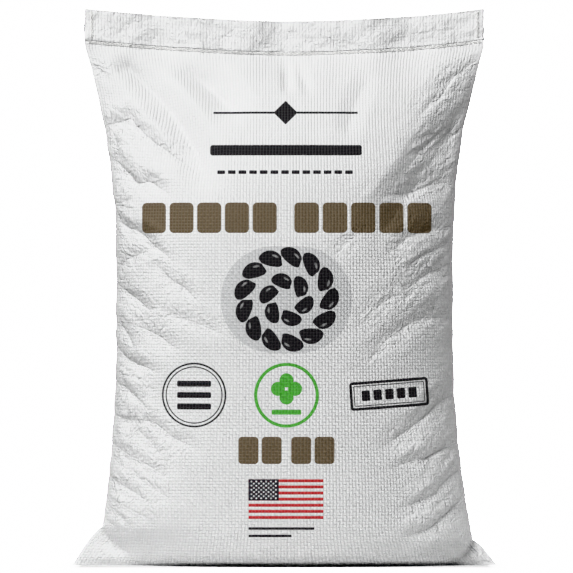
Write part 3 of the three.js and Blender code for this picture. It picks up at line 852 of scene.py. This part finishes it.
def on_cloth(x, height, front):
    """Points and outward directions of the sewn cloth at a place of the front or the back."""
    side_width = np.where(x < 0, half_width(height, left_side), half_width(height, right_side))
    turn = np.arccos(np.clip(x / side_width, -1, 1))
    turn = 2 * np.pi - turn if front else turn
    column = np.interp(turn, list(angles) + [2 * np.pi], np.arange(columns + 1))
    row = np.interp(height, rows, np.arange(len(rows)))
    c, r = np.floor(column).astype(int), np.minimum(np.floor(row).astype(int), len(rows) - 2)
    cf, rf = (column - c)[:, None], (row - r)[:, None]
    c, c_next = c % columns, (c + 1) % columns

    def between(field):
        low = mix(field[r, c], field[r, c_next], cf)
        high = mix(field[r + 1, c], field[r + 1, c_next], cf)
        return mix(low, high, rf)

    return between(folded), between(cloth_out)


def chain(node, start, end, front, finish):
    """A chain of loops from one place on the hem to another, as two strands that meet at each hole."""
    start, end = np.array(start, dtype=float), np.array(end, dtype=float)
    length = np.linalg.norm(end - start)
    stitches = int(round(length / stitch_pitch))
    t = np.linspace(0, stitches, stitches * steps_per_stitch + 1)
    way = (end - start) / length
    across = np.array([-way[1], way[0]])
    points, faces, maps = [], [], []
    for sign in (-1, 1):
        bow = np.abs(np.sin(np.pi * t)) ** 0.7
        place = start + way * (t / stitches * length)[:, None] + across * (sign * loop_half * bow)[:, None]
        on, out = on_cloth(place[:, 0], place[:, 1], front)
        path = on + out * (thread_lift + thread_arch * bow)[:, None]
        along = np.gradient(path, axis=0)
        along /= np.linalg.norm(along, axis=1, keepdims=True)
        beside_it = np.cross(along, out)
        beside_it /= np.linalg.norm(beside_it, axis=1, keepdims=True)
        over = np.cross(beside_it, along)
        first = len(points)
        taper = np.clip(np.minimum(t, stitches - t) * 5, 0.25, 1) * thread_radius
        for i in range(len(t)):
            for k in range(thread_sides):
                a = 2 * np.pi * k / thread_sides
                points.append(path[i] + taper[i] * (math.cos(a) * over[i] + math.sin(a) * beside_it[i]))
        for i in range(len(t) - 1):
            for k in range(thread_sides):
                k_next = (k + 1) % thread_sides
                low, high = first + i * thread_sides, first + (i + 1) * thread_sides
                faces.append([low + k, low + k_next, high + k_next, high + k])
                maps.append([(i, k), (i, k + 1), (i + 1, k + 1), (i + 1, k)])
        last = first + (len(t) - 1) * thread_sides
        faces.append([first + k for k in range(thread_sides)][::-1])
        maps.append([(0, k) for k in range(thread_sides)][::-1])
        faces.append([last + k for k in range(thread_sides)])
        maps.append([(len(t), k) for k in range(thread_sides)])
    mesh = bpy.data.meshes.new("chain_" + node)
    mesh.from_pydata((np.array(points) * MM).tolist(), [], faces)
    twist = mesh.uv_layers.new(name="twist")
    places = [place for face in maps for place in face]
    twist.data.foreach_set("uv", [v for i, k in places for v in (i / steps_per_stitch, k / thread_sides)])
    for face in mesh.polygons:
        face.use_smooth = True
    mesh.materials.append(finish)
    row = bpy.data.objects.new("chain_" + node, mesh)
    bpy.context.scene.collection.objects.link(row)
    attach(row, "root")
    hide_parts(node)


def thread_material():
    made = bpy.data.materials.new("sewing_thread")
    made.use_nodes = True
    tree = made.node_tree
    tree.nodes.clear()
    twist = add_node(tree, "ShaderNodeUVMap", uv_map="twist").outputs[0]
    place = add_node(tree, "ShaderNodeSeparateXYZ", {0: twist})
    turns = maths(tree, "ADD", maths(tree, "MULTIPLY", place.outputs[0], 5.0), place.outputs[1])
    wave = maths(tree, "SINE", maths(tree, "MULTIPLY", turns, 4 * math.pi))
    ply = maths(tree, "MULTIPLY_ADD", wave, 0.5, 0.5)
    bump = add_node(tree, "ShaderNodeBump", {"Strength": 1.0, "Distance": ply_relief, "Height": ply})
    # Painted shade: the thread's colour darkens a little in the grooves between its plies.
    painted_ply_shade = maths(tree, "MULTIPLY_ADD", ply, -0.06, 0.06)
    colour = mix_colour(tree, painted_ply_shade, thread_white, thread_ply_shade)
    surface = add_node(tree, "ShaderNodeBsdfPrincipled", {
        "Base Color": colour, "Roughness": 0.75, "Normal": bump.outputs[0], "Specular IOR Level": 0.3})
    output = add_node(tree, "ShaderNodeOutputMaterial")
    tree.links.new(surface.outputs[0], output.inputs[0])
    return made


thread = thread_material()
row_end = mouth_half - row_margin
for face_name, is_front in (("front", True), ("back", False)):
    chain("hem_stitches_" + face_name, (-row_end, stitch_height), (row_end, stitch_height), is_front, thread)
    for side_name, sign in (("left", -1), ("right", 1)):
        x = sign * (mouth_half - end_margin)
        chain("end_stitches_" + side_name + "_" + face_name, (x, hem_foot + upright_margin),
              (x, hem_top - upright_margin), is_front, thread)

# The light and the floor
# A large soft light stands high at the left and in front. Weak ones at the left, at the right and behind
# light the sides and the back, and a pale room fills the shadows. The sack stands on a plain pale floor,
# which isn't part of it and glows white around the sack's own shadow.
glowing_white = 30.0
room_glow = 0.06

world = bpy.data.worlds.new("studio")
world.use_nodes = True
bpy.context.scene.world = world
sky = world.node_tree
sky.nodes.clear()
seen = add_node(sky, "ShaderNodeBackground", {"Color": (1, 1, 1, 1), "Strength": glowing_white})
cast = add_node(sky, "ShaderNodeBackground", {"Color": (1, 1, 1, 1), "Strength": room_glow})
path = add_node(sky, "ShaderNodeLightPath")
both = add_node(sky, "ShaderNodeMixShader", {0: path.outputs["Is Camera Ray"], 1: cast.outputs[0],
                                             2: seen.outputs[0]})
sky_out = add_node(sky, "ShaderNodeOutputWorld")
sky.links.new(both.outputs[0], sky_out.inputs[0])

lit_place = (0, 0, 0.25)


def add_light(name, place, size, power):
    lamp = bpy.data.lights.new(name, "AREA")
    lamp.shape = "SQUARE"
    lamp.size = size
    lamp.energy = power
    holder = bpy.data.objects.new(name, lamp)
    holder.location = place
    holder.rotation_mode = "QUATERNION"
    holder.rotation_quaternion = (Vector(lit_place) - Vector(place)).to_track_quat("-Z", "Y")
    bpy.context.scene.collection.objects.link(holder)


# Each light has its place, the side of its square, and its power. All point at the middle of the sack.
add_light("key", (-1.05, -2.08, 2.2), 1.4, 107)
add_light("left", (-2.94, -0.26, 0.77), 1.6, 7)
add_light("right", (2.6, 1.2, 0.85), 1.6, 27)
add_light("back", (0.4, 2.7, 1.3), 1.6, 50)

# The floor is dull paper under the sack, and glows from a little way outside its foot.
floor_half = 20
foot_half_length = 0.18
foot_half_depth = 0.05
shadow_reach = 0.09
floor_corners = [(x * floor_half, y * floor_half, 0) for x, y in ((-1, -1), (1, -1), (1, 1), (-1, 1))]
floor_mesh = bpy.data.meshes.new("floor")
floor_mesh.from_pydata(floor_corners, [], [(0, 1, 2, 3)])
floor = bpy.data.objects.new("floor", floor_mesh)
bpy.context.scene.collection.objects.link(floor)
floor_finish = bpy.data.materials.new("floor")
floor_finish.use_nodes = True
floor_tree = floor_finish.node_tree
floor_tree.nodes.clear()
bright = add_node(floor_tree, "ShaderNodeEmission", {"Color": (1, 1, 1, 1), "Strength": glowing_white})
floor_place = add_node(floor_tree, "ShaderNodeTexCoord").outputs["Object"]
floor_xy = add_node(floor_tree, "ShaderNodeSeparateXYZ", {0: floor_place})
beside = maths(floor_tree, "MAXIMUM", maths(floor_tree, "SUBTRACT", maths(
    floor_tree, "ABSOLUTE", floor_xy.outputs[0]), foot_half_length), 0.0)
before = maths(floor_tree, "MAXIMUM", maths(floor_tree, "SUBTRACT", maths(
    floor_tree, "ABSOLUTE", floor_xy.outputs[1]), foot_half_depth), 0.0)
reach = maths(floor_tree, "ADD", maths(floor_tree, "MULTIPLY", beside, 3.0), before)
far = add_node(floor_tree, "ShaderNodeMapRange", {0: reach, 1: 0.0, 2: shadow_reach},
               interpolation_type="SMOOTHSTEP")
sheet = add_node(floor_tree, "ShaderNodeMapRange", {0: reach, 1: 0.3, 2: 0.6, 3: 0.85, 4: 0.15})
paper = add_node(floor_tree, "ShaderNodeBsdfDiffuse", {"Color": sheet.outputs[0]})
floor_path = add_node(floor_tree, "ShaderNodeLightPath")
lit_share = maths(floor_tree, "MULTIPLY", far.outputs[0], floor_path.outputs["Is Camera Ray"])
floor_mix = add_node(floor_tree, "ShaderNodeMixShader", {0: lit_share, 1: paper.outputs[0],
                                                         2: bright.outputs[0]})
floor_out = add_node(floor_tree, "ShaderNodeOutputMaterial")
floor_tree.links.new(floor_mix.outputs[0], floor_out.inputs[0])
floor_mesh.materials.append(floor_finish)

bpy.context.scene.view_settings.view_transform = "Khronos PBR Neutral"
